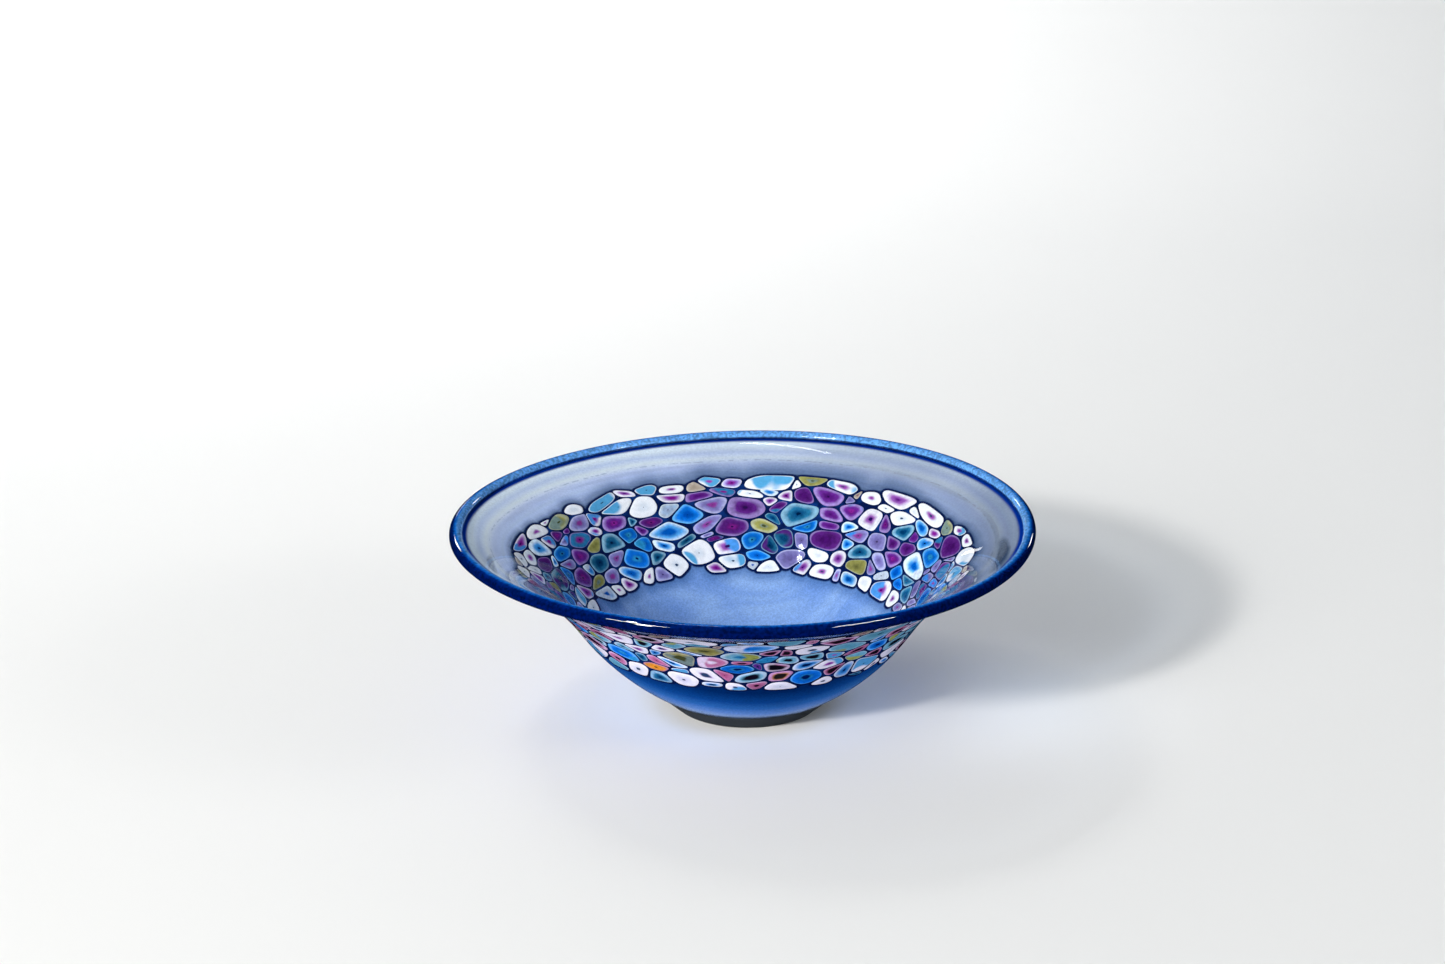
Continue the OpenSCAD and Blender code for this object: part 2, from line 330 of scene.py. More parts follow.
class Murrina:
    """One slice of cane, with its outline in the plane that touches the wall at its middle."""

    POINTS = 40

    def __init__(self, solid, dice):
        middle = (solid.min(0) + solid.max(0)) / 2
        self.azimuth = math.atan2(middle[1], middle[0])
        radius = math.hypot(middle[0], middle[1])
        near = np.argmin((TABLE_R - radius) ** 2 + (TABLE_Z - middle[2]) ** 2)
        self.s = TABLE_S[near]
        self.r, self.z = TABLE_R[near], TABLE_Z[near]
        self.slope = float(outer_at(self.s)[2])
        ca, sa = math.cos(self.azimuth), math.sin(self.azimuth)
        cs, ss = math.cos(self.slope), math.sin(self.slope)
        offset = solid - np.array([self.r * ca, self.r * sa, self.z])
        sideways, upward = np.array([-sa, ca, 0]), np.array([cs * ca, cs * sa, ss])
        flat = np.stack([offset @ sideways, offset @ upward], 1)
        self.seed = dice.random()
        cut = CUT_LEAST + CUT_SPREAD * dice.random()
        self.outline = rounded_outline(convex_outline(flat), cut, self.POINTS)
        self.centre = centroid(self.outline)

    def on_wall(self, flat, depth):
        """Places points of the touching plane in the wall, at the given depths."""
        u, v = flat[:, 0], flat[:, 1]
        forward = self.r + v * math.cos(self.slope)
        r = np.hypot(forward, u)
        z = self.z + v * math.sin(self.slope)
        s = self.s + (r - self.r) * math.cos(self.slope) + (z - self.z) * math.sin(self.slope)
        azimuth = self.azimuth + np.arctan2(u, forward)
        wall_r, wall_z = wall_at(s, depth)
        return np.stack([wall_r * np.cos(azimuth), wall_r * np.sin(azimuth), wall_z], 1)


dice = np.random.default_rng(20)
murrine = {c: [Murrina(solid, dice) for solid in islands(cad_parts["murrine_" + c].data)]
           for c in COLOURS}

# Rings of points on a slice's faces, from its middle to its edge, and how far the face falls
# away at the edge
RING_AT = np.array([0.1, 0.22, 0.36, 0.5, 0.64, 0.76, 0.86, 0.94, 1.0])
EDGE_FALL = 0.3
FALL_POWER = 10


def slice_face(m, outward, first):
    """One face of a slice: rings of points round a hub, and the faces between them."""
    n = m.POINTS
    half = (COLOUR_TO - COLOUR_FROM) / 2 * outward
    depth = np.repeat(COLOUR_MIDDLE + half * (1 - EDGE_FALL * RING_AT ** FALL_POWER), n)
    rings = m.centre + RING_AT[:, None, None] * (m.outline - m.centre)
    points = np.vstack([m.on_wall(rings.reshape(-1, 2), depth),
                        m.on_wall(m.centre[None], np.array([COLOUR_MIDDLE + half]))])
    hub = first + len(points) - 1
    faces = []
    for k in range(n):
        j = (k + 1) % n
        faces.append((hub, first + j, first + k))
        for i in range(len(RING_AT) - 1):
            inner, outer = first + i * n, first + (i + 1) * n
            faces.append((inner + k, inner + j, outer + j, outer + k))
    if outward > 0:
        faces = [face[::-1] for face in faces]
    return points, faces


def murrine_piece(colour):
    """All murrine of one colour as one mesh of separate closed pebbles. Its attributes are the
    way out from a slice's middle to its edge, a number of its own, and the side."""
    n = Murrina.POINTS
    size = n * len(RING_AT) + 1
    points, faces, seed = [], [], []
    for m in murrine[colour]:
        first = len(seed)
        for outward, start in ((-1, first), (1, first + size)):
            face_points, face_quads = slice_face(m, outward, start)
            points.append(face_points)
            faces.extend(face_quads)
        low, high = first + size - 1 - n, first + 2 * size - 1 - n
        for k in range(n):
            j = (k + 1) % n
            faces.append((low + k, low + j, high + j, high + k))
        seed.extend([m.seed] * (2 * size))
    count = len(murrine[colour])
    core = np.tile(np.append(np.repeat(RING_AT, n), 0), 2 * count)
    side = np.tile(np.repeat([0, 1], size), count)
    return make_piece("slices_" + colour, np.vstack(points), faces,
                      {"core": core, "seed": seed, "side": side})


# --- Material helpers ---------------------------------------------------------------------


class Look:
    """A material with short ways to add nodes."""

    def __init__(self, name):
        self.material = bpy.data.materials.new(name)
        self.material.use_nodes = True
        self.tree = self.material.node_tree
        self.nodes = self.tree.nodes
        self.nodes.clear()
        self.output = self.add("ShaderNodeOutputMaterial")
        self.shader = self.add("ShaderNodeBsdfPrincipled")
        self.link(self.shader.outputs[0], self.output.inputs["Surface"])

    def add(self, kind, **settings):
        node = self.nodes.new(kind)
        for key, value in settings.items():
            setattr(node, key, value)
        return node

    def link(self, a, b):
        self.tree.links.new(a, b)

    def set(self, **values):
        """Sets the shader's own inputs; an underscore stands for a space."""
        for key, value in values.items():
            self.shader.inputs[key.replace("_", " ")].default_value = value

    def put(self, value, socket):
        """A number or colour is set, and a socket is linked."""
        if isinstance(value, bpy.types.NodeSocket):
            self.link(value, socket)
        else:
            socket.default_value = value

    def attribute(self, name):
        return self.add("ShaderNodeAttribute", attribute_name=name).outputs["Fac"]

    def noise(self, scale, detail=3.0, stretch=None, distortion=0.0):
        """Noise in the object's own coordinates; scale is in features per metre."""
        place = self.add("ShaderNodeTexCoord").outputs["Object"]
        if stretch:
            mapping = self.add("ShaderNodeMapping")
            mapping.inputs["Scale"].default_value = stretch
            self.link(place, mapping.inputs["Vector"])
            place = mapping.outputs[0]
        noise = self.add("ShaderNodeTexNoise")
        noise.inputs["Scale"].default_value = scale
        noise.inputs["Detail"].default_value = detail
        noise.inputs["Distortion"].default_value = distortion
        self.link(place, noise.inputs["Vector"])
        return noise.outputs["Fac"]

    def place(self, axis):
        """One coordinate in metres in the object's own frame."""
        split = self.add("ShaderNodeSeparateXYZ")
        self.link(self.add("ShaderNodeTexCoord").outputs["Object"], split.inputs[0])
        return split.outputs[axis]

    def streaks(self, along, scale, detail):
        """Noise that only changes along the wall; the caller bends its place a little, so that
        it isn't drawn by a compass."""
        noise = self.add("ShaderNodeTexNoise", noise_dimensions="1D")
        noise.inputs["Scale"].default_value = scale
        noise.inputs["Detail"].default_value = detail
        self.link(along, noise.inputs["W"])
        return noise.outputs["Fac"]

    def math(self, operation, a, b=0.0, c=0.0, clamp=False):
        node = self.add("ShaderNodeMath", operation=operation, use_clamp=clamp)
        for value, socket in zip((a, b, c), node.inputs):
            self.put(value, socket)
        return node.outputs[0]

    def remap(self, value, low, high, to_low=0.0, to_high=1.0):
        """Takes low to to_low and high to to_high, with smooth ends."""
        node = self.add("ShaderNodeMapRange", interpolation_type="SMOOTHSTEP")
        for number, socket in zip((value, low, high, to_low, to_high), node.inputs):
            self.put(number, socket)
        return node.outputs[0]

    def uneven(self, scale, amount, detail=3.0):
        """Noise that swings by half the amount to each side of nothing."""
        return self.math("MULTIPLY_ADD", self.noise(scale, detail), amount, -amount / 2)

    def mix(self, factor, a, b, blend="MIX"):
        """Mixes colours, from a to b. These sockets are the ones for colours."""
        node = self.add("ShaderNodeMix", data_type="RGBA", blend_type=blend)
        for value, socket in zip((factor, a, b), (node.inputs[0], node.inputs[6], node.inputs[7])):
            self.put(value if isinstance(value, (float, bpy.types.NodeSocket)) else rgba(value), socket)
        return node.outputs[2]

    def scale(self, colour, by):
        node = self.add("ShaderNodeVectorMath", operation="SCALE")
        self.link(colour, node.inputs[0])
        self.link(by, node.inputs["Scale"])
        return node.outputs[0]

    def ramp(self, value, stops):
        """Colours at stops from 0 to 1."""
        node = self.add("ShaderNodeValToRGB")
        elements = node.color_ramp.elements
        while len(elements) < len(stops):
            elements.new(0.5)
        for element, (position, colour) in zip(elements, stops):
            element.position = position
            element.color = rgba(colour)
        self.put(value, node.inputs[0])
        return node.outputs[0]

    def bump(self, height, strength, distance):
        """Relief of the given height in metres, without moving the surface."""
        node = self.add("ShaderNodeBump")
        node.inputs["Strength"].default_value = strength
        node.inputs["Distance"].default_value = distance
        self.link(height, node.inputs["Height"])
        self.link(node.outputs[0], self.shader.inputs["Normal"])


def rgba(colour):
    return (*colour, 1.0)


# --- Glass colours ------------------------------------------------------------------------

NAVY = (0.002, 0.008, 0.055)
# Distances in mm from a slice over which the layers round it turn navy
NAVY_TO = 0.7
NAVY_FADE = 1.6


def casing_look():
    """Clear glass with slow waves. Its low IOR keeps the layers inside where they are."""
    look = Look("casing_glass")
    look.set(Base_Color=(0.95, 0.97, 1.0, 1), Roughness=0.02, Transmission_Weight=1.0, IOR=1.16)
    swirl = look.noise(26, 2.0, stretch=(1, 1, 2.5))
    look.bump(swirl, 0.02, 0.6 * MM)
    return look.material


def embedded(look):
    """Colour inside the glass has no gloss of its own."""
    look.set(Specular_IOR_Level=0.0, Roughness=0.7)


def grain(look, colour, scale, low, high):
    """Fine powder grain in fused colour."""
    return look.scale(colour, look.remap(look.noise(scale, 2.0), 0.3, 0.7, low, high))


def powder(look):
    """Relief of the powder that a colour layer is made of."""
    look.bump(look.noise(1200, 2.0), 0.2, 0.1 * MM)


# Bands of the flare, at their places along the wall
FLARE_BANDS = [
    (0.74, (0.28, 0.41, 0.82)),
    (0.80, (0.48, 0.63, 1.0)),
    (0.842, (0.52, 0.62, 0.94)),
    (0.875, (0.82, 0.92, 1.0)),
    (0.905, (0.58, 0.69, 1.0)),
    (0.94, (0.84, 0.95, 1.0)),
    (0.985, (0.72, 0.88, 1.0)),
]
FLARE_STREAK = (0.40, 0.50, 0.86)
# Painted shade that darkens the flare towards +X and the front
FLARE_PAINTED_SHADE = (0.08, 0.13, 0.25)
FLARE_HALO = (0.07, 0.13, 0.28)
# Painted shade on the flare's outer side, under the lip
FLARE_OUTSIDE_SHADE = (0.19, 0.23, 0.32)
# A broken dark thread that runs round the flare
TRAIL = (0.12, 0.15, 0.24)
TRAIL_AT = 0.858
TRAIL_HALF = 0.005
# The cobalt edge beside the lip wrap
LIP_EDGE = (0.0, 0.025, 0.28)
# Painted shade in the flare: dark patches where shadow seen through the glass would lie. Azimuth
# and place along the wall, half length in degrees, half width, slant per degree and strength
SHADE_PATCH = (0.03, 0.06, 0.13)
SHADE_PATCHES = [
    (-16, 0.912, 13, 0.03, -0.002, 1.0),
    (2, 0.87, 16, 0.012, 0.0, 0.35),
    (-159, 0.905, 9, 0.018, 0.004, 0.75),
    (156, 0.845, 14, 0.014, 0.0, 0.15),
    (120, 0.835, 20, 0.010, 0.0, 0.2),
    (40, 0.86, 22, 0.012, 0.0, 0.3),
]


def flare_bands(look, drift, streak):
    """The flare's bands, with painted shade that darkens them towards +X and the front."""
    bands = look.ramp(drift, FLARE_BANDS)
    bands = look.mix(look.math("MULTIPLY", streak, 0.22), bands, FLARE_STREAK)
    # Painted shade: darker towards +X and the front, with noise, where the cast shadow shows through
    thick = look.math("MULTIPLY_ADD", look.place(0), 5.0, 0.28)
    thick = look.math("ADD", thick, look.math("MULTIPLY", look.place(1), -1.6))
    thick = look.math("ADD", thick, look.uneven(14, 0.8, 2.0), clamp=True)
    bands = look.mix(look.math("MULTIPLY", thick, 0.9), bands, FLARE_PAINTED_SHADE)
    trail_off = look.math("ABSOLUTE", look.math("SUBTRACT", drift, TRAIL_AT))
    broken = look.remap(look.noise(300, 2.0), 0.45, 0.6)
    trail = look.math("MULTIPLY", look.remap(trail_off, 0.0, TRAIL_HALF, 1.0, 0.0), broken)
    return look.mix(look.math("MULTIPLY", trail, 0.6), bands, TRAIL)


def with_shade_patches(look, colour, along):
    """Paints the dark patches of shade onto a colour."""
    turn = look.attribute("turn")
    for at_turn, at_along, long, wide, slant, strength in SHADE_PATCHES:
        ahead = look.math("SUBTRACT", turn, at_turn)
        across = look.math("SUBTRACT", along, at_along)
        across = look.math("SUBTRACT", across, look.math("MULTIPLY", ahead, slant))
        across = look.math("POWER", look.math("DIVIDE", across, wide), 2.0)
        ahead = look.math("POWER", look.math("DIVIDE", ahead, long), 2.0)
        spot = look.math("ADD", look.math("ADD", ahead, across), look.uneven(90, 1.0, 2.0))
        colour = look.mix(look.remap(spot, 0.2, 1.3, strength, 0.0), colour, SHADE_PATCH)
    return colour


def flare_look():
    """Pale blue-grey powder colour, thin enough to see through, with painted shade to one side
    and darker round the murrine."""
    look = Look("flare_colour")
    embedded(look)
    along = look.attribute("along")
    near = look.attribute("near")
    drift = look.math("ADD", along, look.uneven(9, 0.06, 1.0))
    streak = look.remap(look.streaks(drift, 26, 1.5), 0.35, 0.65)
    bands = with_shade_patches(look, flare_bands(look, drift, streak), along)
    reach = look.remap(look.noise(7, 1.0), 0.35, 0.65, 5.0, 12.0)
    halo = look.remap(look.math("DIVIDE", near, reach), 0.1, 1.0, 1.0, 0.0)
    colour = look.mix(halo, bands, FLARE_HALO)
    colour = look.mix(look.remap(near, NAVY_TO, NAVY_FADE, 1.0, 0.0), colour, NAVY)
    edge = look.remap(along, 0.952, 0.966)
    colour = look.mix(edge, colour, LIP_EDGE)
    # Painted shade: the flare's outer side is multiplied darker
    colour = look.mix(look.attribute("side"), look.mix(1.0, colour, FLARE_OUTSIDE_SHADE, "MULTIPLY"), colour)
    look.link(grain(look, colour, 900, 0.92, 1.08), look.shader.inputs["Base Color"])
    look.set(Subsurface_Weight=0.6, Subsurface_Scale=0.002, Subsurface_Radius=(1, 1, 1))
    powder(look)
    cover = look.remap(along, 0.89, 0.95, 0.42, 0.72)
    cover = look.math("ADD", cover, look.math("MULTIPLY", streak, 0.1))
    cover = look.math("MAXIMUM", look.remap(near, NAVY_TO, 2.2, 1.0, 0.0), cover)
    clear = look.add("ShaderNodeBsdfTransparent")
    look.link(look.mix(halo, (0.90, 0.95, 1.0), (0.62, 0.72, 0.90)), clear.inputs["Color"])
    mixer = look.add("ShaderNodeMixShader")
    look.link(look.math("MAXIMUM", cover, edge), mixer.inputs[0])
    look.link(clear.outputs[0], mixer.inputs[1])
    look.link(look.shader.outputs[0], mixer.inputs[2])
    look.link(mixer.outputs[0], look.output.inputs["Surface"])
    absorb = look.add("ShaderNodeVolumeAbsorption")
    absorb.inputs["Color"].default_value = rgba((0.42, 0.60, 0.95))
    absorb.inputs["Density"].default_value = 45.0
    look.link(absorb.outputs[0], look.output.inputs["Volume"])
    return look.material


# Outside of the base, at places along the wall from the foot
BASE_OUTSIDE = [
    (0.0, (0.42, 0.60, 1.0)),
    (0.025, (0.36, 0.54, 0.97)),
    (0.07, (0.16, 0.34, 0.82)),
    (0.14, (0.03, 0.16, 0.54)),
    (0.21, (0.004, 0.06, 0.29)),
    (0.30, (0.0, 0.02, 0.12)),
]
BASE_INSIDE = [(0.14, 0.27, 0.60), (0.24, 0.39, 0.69)]
BASE_HALO = (0.05, 0.13, 0.34)


def base_look():
    """Cobalt powder colour outside, paling towards the foot, with painted light that pales it
    further towards the sides at ±X, and cornflower blue inside."""
    look = Look("base_colour")
    embedded(look)
    near = look.attribute("near")
    along = look.math("ADD", look.attribute("along"), look.uneven(30, 0.04))
    # Painted light: the outside pales towards ±X, brightening the limbs
    painted_limb_light = look.math("MULTIPLY", look.math("POWER", look.place(0), 2.0), 40.0)
    outside = look.ramp(look.math("SUBTRACT", along, painted_limb_light), BASE_OUTSIDE)
    cloud = look.remap(look.noise(16, 6.0, stretch=(1, 2.4, 1), distortion=1.2), 0.34, 0.66)
    inside = look.mix(cloud, *BASE_INSIDE)
    inside = look.mix(look.remap(near, 0.4, 8.0, 0.8, 0.0), inside, BASE_HALO)
    colour = look.mix(look.attribute("side"), outside, inside)
    colour = look.mix(look.remap(near, NAVY_TO, NAVY_FADE, 1.0, 0.0), colour, NAVY)
    look.link(grain(look, colour, 1100, 0.88, 1.12), look.shader.inputs["Base Color"])
    powder(look)
    return look.material


def ground_look():
    """Near-black cobalt between the murrine."""
    look = Look("cobalt_ground")
    embedded(look)
    colour = look.mix(look.remap(look.noise(140, 2.0), 0.45, 0.7), NAVY, (0.004, 0.03, 0.16))
    look.link(colour, look.shader.inputs["Base Color"])
    look.bump(look.noise(500, 2.0), 0.2, 0.1 * MM)
    return look.material


# Painted light and shade of the lip, from its outer side, 0, painted near black, to its inner side, 1,
# painted pale
LIP_PAINTED_LIGHT = [
    (0.0, (0.0, 0.004, 0.05)),
    (0.26, (0.0, 0.010, 0.11)),
    (0.38, (0.002, 0.07, 0.38)),
    (0.50, (0.01, 0.16, 0.58)),
    (0.62, (0.09, 0.28, 0.68)),
    (1.0, (0.13, 0.36, 0.76)),
]
# Painted shade on the lip's underside
LIP_UNDERSIDE_SHADE = (0.0, 0.005, 0.07)


def lip_look():
    """Cobalt glass with powder grain, with painted light that makes its inner side pale and painted
    shade that makes it almost black outside and underneath.
    """
    look = Look("lip_glass")
    look.set(Roughness=0.02, Transmission_Weight=0.1, IOR=1.35)
    uneven = look.uneven(260, 0.3)
    inward = look.math("ADD", look.attribute("inward"), uneven)
    # Painted light and shade: pale inner side, near-black outer side
    pale = look.ramp(look.math("MULTIPLY_ADD", inward, 0.5, 0.5), LIP_PAINTED_LIGHT)
    upward = look.math("ADD", look.attribute("upward"), uneven)
    # Painted shade on the underside
    colour = look.mix(look.remap(upward, -0.05, 0.42, 1.0, 0.0), pale, LIP_UNDERSIDE_SHADE)
    look.link(grain(look, colour, 700, 0.6, 1.45), look.shader.inputs["Base Color"])
    look.bump(look.noise(1100, 3.0), 0.12, 0.1 * MM)
    return look.material


def foot_look():
    """Charcoal glass, ground to a satin with fine lines round the foot."""
    look = Look("foot_glass")
    lines = look.noise(140, 3.0, stretch=(0.4, 0.4, 14))
    colour = look.mix(look.remap(lines, 0.35, 0.65), (0.032, 0.042, 0.054), (0.072, 0.088, 0.108))
    look.link(colour, look.shader.inputs["Base Color"])
    look.link(look.remap(lines, 0.3, 0.7, 0.38, 0.55), look.shader.inputs["Roughness"])
    look.bump(lines, 0.35, 0.15 * MM)
    return look.material


class Cane(NamedTuple):
    """Colours of a cane. Its nucleus, heart, body and rim follow each other from the middle to
    the edge. The second colour stains some slices, and the kernel lies in the heart of some.
    The heart and the body reach out to heart_to and body_to, and the largest nucleus to
    nucleus_to, where the edge is at 1. Mottled is how much the colours vary."""

    nucleus: tuple
    heart: tuple
    body: tuple
    rim: tuple
    second: tuple
    kernel: tuple
    heart_to: float
    body_to: float
    nucleus_to: float
    mottled: float


CANES = {
    "white": Cane(
        nucleus=(0.02, 0.05, 0.12), heart=(0.62, 0.68, 0.76),
        body=(0.76, 0.79, 0.84), rim=(0.8, 0.82, 0.87),
        second=(0.08, 0.34, 0.62), kernel=(0.28, 0.05, 0.36),
        heart_to=0.2, body_to=0.5, nucleus_to=0.16, mottled=0.07),
    "cream": Cane(
        nucleus=(0.14, 0.1, 0.08), heart=(0.3, 0.25, 0.2),
        body=(0.38, 0.33, 0.28), rim=(0.46, 0.44, 0.42),
        second=(0.36, 0.36, 0.38), kernel=(0.2, 0.08, 0.12),
        heart_to=0.3, body_to=0.7, nucleus_to=0.1, mottled=0.15),
    "olive": Cane(
        nucleus=(0.05, 0.06, 0.02), heart=(0.17, 0.17, 0.05),
        body=(0.28, 0.28, 0.08), rim=(0.38, 0.4, 0.26),
        second=(0.16, 0.24, 0.22), kernel=(0.16, 0.24, 0.22),
        heart_to=0.15, body_to=0.7, nucleus_to=0.22, mottled=0.2),
    "magenta": Cane(
        nucleus=(0.02, 0.005, 0.08), heart=(0.12, 0.015, 0.22),
        body=(0.3, 0.1, 0.42), rim=(0.74, 0.74, 0.84),
        second=(0.06, 0.26, 0.66), kernel=(0.2, 0.01, 0.24),
        heart_to=0.12, body_to=0.42, nucleus_to=0.22, mottled=0.15),
    "plum": Cane(
        nucleus=(0.02, 0.004, 0.06), heart=(0.06, 0.006, 0.13),
        body=(0.11, 0.02, 0.22), rim=(0.28, 0.2, 0.48),
        second=(0.02, 0.16, 0.36), kernel=(0.17, 0.012, 0.2),
        heart_to=0.2, body_to=0.65, nucleus_to=0.14, mottled=0.25),
    "lilac": Cane(
        nucleus=(0.05, 0.04, 0.12), heart=(0.13, 0.11, 0.32),
        body=(0.21, 0.2, 0.48), rim=(0.4, 0.42, 0.68),
        second=(0.03, 0.22, 0.66), kernel=(0.24, 0.04, 0.28),
        heart_to=0.2, body_to=0.65, nucleus_to=0.16, mottled=0.2),
    "sky": Cane(
        nucleus=(0.0, 0.01, 0.06), heart=(0.005, 0.13, 0.5),
        body=(0.07, 0.32, 0.7), rim=(0.62, 0.74, 0.86),
        second=(0.5, 0.58, 0.7), kernel=(0.0, 0.08, 0.4),
        heart_to=0.15, body_to=0.5, nucleus_to=0.16, mottled=0.2),
    "cobalt": Cane(
        nucleus=(0.0, 0.01, 0.08), heart=(0.0, 0.07, 0.4),
        body=(0.005, 0.17, 0.66), rim=(0.12, 0.42, 0.82),
        second=(0.02, 0.24, 0.5), kernel=(0.02, 0.24, 0.5),
        heart_to=0.25, body_to=0.7, nucleus_to=0.14, mottled=0.2),
    "teal": Cane(
        nucleus=(0.0, 0.01, 0.04), heart=(0.003, 0.05, 0.14),
        body=(0.015, 0.13, 0.25), rim=(0.2, 0.38, 0.52),
        second=(0.07, 0.02, 0.18), kernel=(0.0, 0.03, 0.1),
        heart_to=0.25, body_to=0.65, nucleus_to=0.16, mottled=0.25),
    "rose": Cane(
        nucleus=(0.004, 0.003, 0.008), heart=(0.34, 0.08, 0.2),
        body=(0.46, 0.18, 0.33), rim=(0.56, 0.42, 0.6),
        second=(0.62, 0.56, 0.68), kernel=(0.62, 0.56, 0.68),
        heart_to=0.2, body_to=0.8, nucleus_to=0.34, mottled=0.15),
    "turquoise": Cane(
        nucleus=(0.004, 0.003, 0.01), heart=(0.1, 0.36, 0.5),
        body=(0.18, 0.46, 0.6), rim=(0.42, 0.62, 0.76),
        second=(0.3, 0.36, 0.08), kernel=(0.02, 0.2, 0.42),
        heart_to=0.2, body_to=0.8, nucleus_to=0.28, mottled=0.15),
    "orange": Cane(
        nucleus=(0.01, 0.01, 0.01), heart=(0.72, 0.27, 0.02),
        body=(0.66, 0.28, 0.06), rim=(0.44, 0.24, 0.44),
        second=(0.4, 0.18, 0.38), kernel=(0.4, 0.18, 0.38),
        heart_to=0.2, body_to=0.6, nucleus_to=0.3, mottled=0.2),
}
# The outer faces of the slices are a little brighter and pinker
OUTER_TINT = (1.05, 0.98, 1.12)


def murrine_look(colour):
    """Colours melt into each other from a dark nucleus to a pale rim in a dark jacket."""
    cane = CANES[colour]
    look = Look("murrine_" + colour)
    embedded(look)
    seed = look.attribute("seed")
    side = look.attribute("side")
    core = look.attribute("core")

    def luck(k):
        """A number from 0 to 1 that belongs to a slice, another one for each k."""
        return look.math("FRACT", look.math("MULTIPLY", seed, k))

    wobble = look.math("ADD", core, look.uneven(120, 0.30, 2.0))
    reach = look.math("MULTIPLY", wobble, look.math("MULTIPLY_ADD", luck(5.1), 0.5, 0.75))
    rim_at = min(0.97, cane.body_to + 0.36)
    rings = look.ramp(reach, [(0.0, cane.heart), (cane.heart_to, cane.heart),
                              (cane.body_to, cane.body), (rim_at, cane.rim), (1.0, cane.rim)])
    stained = look.remap(luck(3.7), 0.50, 0.56)
    patch = look.math("MULTIPLY", look.remap(look.noise(62, 1.0), 0.50, 0.56), stained)
    rings = look.mix(patch, rings, cane.second)
    has_kernel = look.remap(luck(9.1), 0.55, 0.57)
    kernel = look.math("MULTIPLY", look.remap(reach, 0.14, 0.46, 1.0, 0.0), has_kernel)
    rings = look.mix(kernel, rings, cane.kernel)
    mottle = look.remap(look.noise(520, 4.0), 0.25, 0.75, 1 - cane.mottled, 1 + cane.mottled)
    shade = look.math("MULTIPLY_ADD", luck(7.3), 2 * cane.mottled, 1 - cane.mottled)
    rings = look.scale(rings, look.math("MULTIPLY", mottle, shade))
    rings = look.mix(look.remap(wobble, 0.84, 0.94, 0.0, 0.7), rings, cane.rim)
    dot_to = look.math("MULTIPLY", look.remap(luck(13.7), 0.05, 0.9, 0.0, cane.nucleus_to),
                       look.math("MULTIPLY_ADD", side, -1.5, 2.5))
    speck = look.math("ADD", core, look.uneven(300, 0.24, 2.0))
    dot = look.remap(speck, look.math("MULTIPLY", dot_to, 0.55), dot_to, 1.0, 0.0)
    dotted = look.mix(dot, rings, cane.nucleus)
    tint = look.mix(side, OUTER_TINT, (1, 1, 1))
    tinted = look.mix(1.0, dotted, tint, "MULTIPLY")
    jacket = look.remap(core, 0.95, 0.995)
    look.link(look.mix(jacket, tinted, NAVY), look.shader.inputs["Base Color"])
    look.bump(look.noise(350, 2.0), 0.25, 0.15 * MM)
    return look.material


# --- Pieces -------------------------------------------------------------------------------

TURNS = 360
FINE_TURNS = 800
# Rings across the floor and up the wall, and points across the wall at the lip
FLOOR_RINGS = 24
WALL_RINGS = 110
LIP_POINTS = 7
# Share of the floor's thickness by which the casing stays inside it, clear of the foot
FOOT_INSET = 0.004
# Shares of the colour's depth by which the layers and the ground stay clear of the casings
LAYER_INSET = 0.04
GROUND_INSET = 0.05


def casing_glass():
    """The clear casings as one skin of glass, since they are fused through the colour layer.
    Light passes through it to the colours inside, so it casts no shadow of its own."""
    floor_s = np.linspace(AXIS_S + 2 * MM, 0, FLOOR_RINGS)[:-1]
    s_out = np.concatenate([[AXIS_S], floor_s, np.linspace(0, lip_contact(0), WALL_RINGS)])
    s_in = np.concatenate([[AXIS_S], floor_s, np.linspace(0, lip_contact(1), WALL_RINGS)])
    depths = np.linspace(0, 1, LIP_POINTS)[1:-1]
    cap = np.array([wall_at(np.array(lip_contact(d)), d) for d in depths])
    out_r, out_z = wall_at(s_out, np.where(s_out < 0, FOOT_INSET, 0.0))
    in_r, in_z = wall_at(s_in[::-1], 1.0)
    r = np.concatenate([out_r, cap[:, 0], in_r])
    z = np.concatenate([out_z, cap[:, 1], in_z])
    points, faces = lathe(r, z, TURNS, closed=False)
    piece = make_piece("casing_glass", points, faces)
    finish_piece(piece, casing_look(), "outer_casing", "outer_casing", "inner_casing")
    piece.visible_shadow = False
    piece.visible_diffuse = False


every_slice = [m for group in murrine.values() for m in group]
outline_points = np.vstack([m.on_wall(m.outline, np.full(m.POINTS, COLOUR_MIDDLE)) for m in every_slice])
outline_tree = kdtree.KDTree(len(outline_points))
for i, point in enumerate(outline_points):
    outline_tree.insert(point, i)
outline_tree.balance()
# Distance in mm from which the murrine don't matter to a layer's colour
FAR = 12.0
# Rings closer than this are one ring
SAME_RING = 0.01 * MM


def near_murrine(s, azimuths):
    """Distance in mm from points on the wall to the nearest slice's outline."""
    r, z = wall_at(s, COLOUR_MIDDLE)
    return [min(FAR, outline_tree.find((ri * math.cos(a), ri * math.sin(a), zi))[2] / MM)
            for ri, zi in zip(r, z) for a in azimuths]


